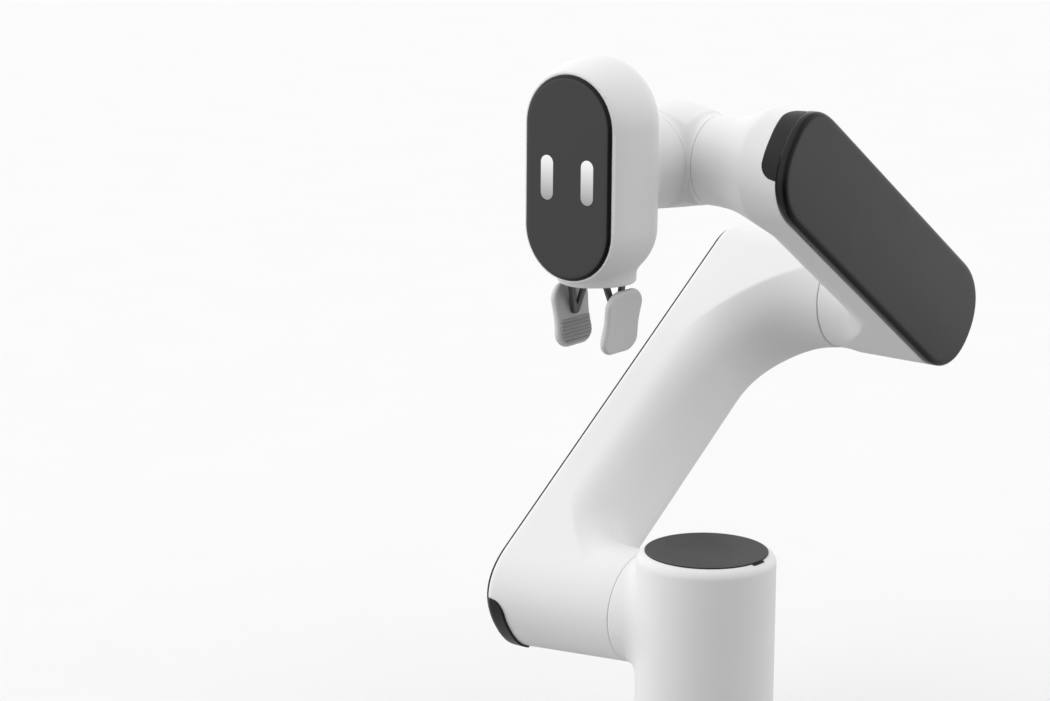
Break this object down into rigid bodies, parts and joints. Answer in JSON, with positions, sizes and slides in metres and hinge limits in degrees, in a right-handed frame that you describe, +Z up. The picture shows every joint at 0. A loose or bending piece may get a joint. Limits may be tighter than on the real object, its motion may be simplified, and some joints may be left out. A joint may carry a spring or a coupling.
{
  "type": "desktop robot arm",
  "caption": "Table-top robot arm: turning column, offset upper arm and forearm, turning wrist, and a head with an oval display over a paddle gripper.",
  "frame": {"origin": "centre of the foot's resting face, on the bench and on the yaw axis", "axes": "+Z up along the yaw axis, -Y the way the display and gripper face, +X the robot's left side; the arm stands on the -X side of the column"},
  "size_m": [0.2723, 0.41, 0.548],
  "materials": {
    "white_casing": "satin",
    "black_cover": "satin",
    "cast_aluminium": "satin",
    "steel": "satin",
    "brass": "satin",
    "cast_base": "satin",
    "rubber": "matte",
    "circuit_board": "satin",
    "black_plastic": "matte",
    "display_glass": "gloss",
    "display_panel": "matte",
    "lit_eyes": "gloss",
    "dark_metal": "satin",
    "paddle_grey": "satin",
    "pad_rubber": "matte"
  },
  "bodies": {
    "base": {"foot": "cast_base", "foot_ring": "rubber", "base_shell": "white_casing", "base_screws": "steel", "yaw_motor": "cast_aluminium", "yaw_bearing": "steel", "base_board": "circuit_board", "power_inlet": "black_plastic", "data_port": "steel"},
    "button": {"power_button": "black_cover"},
    "column": {"column_shell": "white_casing", "top_cover": "black_cover", "yaw_flange": "cast_aluminium", "yaw_screws": "steel", "shoulder_motor": "cast_aluminium", "shoulder_bearing": "steel"},
    "upper_arm": {"upper_arm_shell": "white_casing", "upper_arm_cover": "black_cover", "shoulder_flange": "cast_aluminium", "shoulder_screws": "steel", "elbow_motor": "cast_aluminium", "elbow_bearing": "steel"},
    "forearm": {"forearm_shell": "white_casing", "forearm_cover": "black_cover", "elbow_flange": "cast_aluminium", "elbow_screws": "steel", "wrist_motor": "cast_aluminium", "wrist_bearing": "steel", "forearm_board": "circuit_board"},
    "wrist": {"wrist_shell": "white_casing", "wrist_flange": "cast_aluminium", "wrist_screws": "steel", "head_motor": "cast_aluminium", "head_bearing": "steel"},
    "head": {"head_shell": "white_casing", "display_glass": "display_glass", "display_panel": "display_panel", "eyes": "lit_eyes", "head_flange": "cast_aluminium", "head_screws": "steel", "head_board": "circuit_board", "gripper_frame": "cast_aluminium", "gripper_motor": "steel", "hinge_pins": "steel"},
    "pinion": {"drive_pinion": "brass"},
    "left_finger": {"left_fork": "dark_metal", "left_gear": "steel", "left_paddle": "paddle_grey", "left_pad": "pad_rubber"},
    "right_finger": {"right_fork": "dark_metal", "right_gear": "steel", "right_paddle": "paddle_grey", "right_pad": "pad_rubber"}
  },
  "joints": [
    {"name": "yaw", "type": "hinge", "parent": "base", "child": "column", "pos_m": [0, 0, 0], "axis": [0, 0, 1], "range_deg": [-170, 170]},
    {"name": "shoulder", "type": "hinge", "parent": "column", "child": "upper_arm", "pos_m": [-0.057, 0, 0.15], "axis": [1, 0, 0], "range_deg": [-20, 75]},
    {"name": "elbow", "type": "hinge", "parent": "upper_arm", "child": "forearm", "pos_m": [-0.057, 0.26198, 0.33756], "axis": [-1, 0, 0], "range_deg": [-12, 100]},
    {"name": "wrist", "type": "hinge", "parent": "forearm", "child": "wrist", "pos_m": [-0.054, 0.07991, 0.46839], "axis": [1, 0, 0], "range_deg": [-60, 60]},
    {"name": "head_roll", "type": "hinge", "parent": "wrist", "child": "head", "pos_m": [-0.0924, 0.0457, 0.46839], "axis": [0, -1, 0], "range_deg": [-170, 170]},
    {"name": "left_finger_swing", "type": "hinge", "parent": "head", "child": "left_finger", "pos_m": [-0.1068, -0.0113, 0.39959], "axis": [0, 1, 0], "range_deg": [-15, 14]},
    {"name": "right_finger_swing", "type": "hinge", "parent": "head", "child": "right_finger", "pos_m": [-0.078, -0.0113, 0.39959], "axis": [0, 1, 0], "range_deg": [-14, 15]},
    {"name": "pinion_turn", "type": "hinge", "parent": "head", "child": "pinion", "pos_m": [-0.09982, -0.0113, 0.41876], "axis": [0, 1, 0], "range_deg": [-33.6, 36]},
    {"name": "power_press", "type": "slide", "parent": "base", "child": "button", "axis": [0, -1, 0], "range_m": [0, 0.0015], "stiffness_N_per_m": 600}
  ],
  "couplings": [
    {"joint": "right_finger_swing", "follows": "left_finger_swing", "ratio": -1},
    {"joint": "pinion_turn", "follows": "left_finger_swing", "ratio": -2.4}
  ]
}
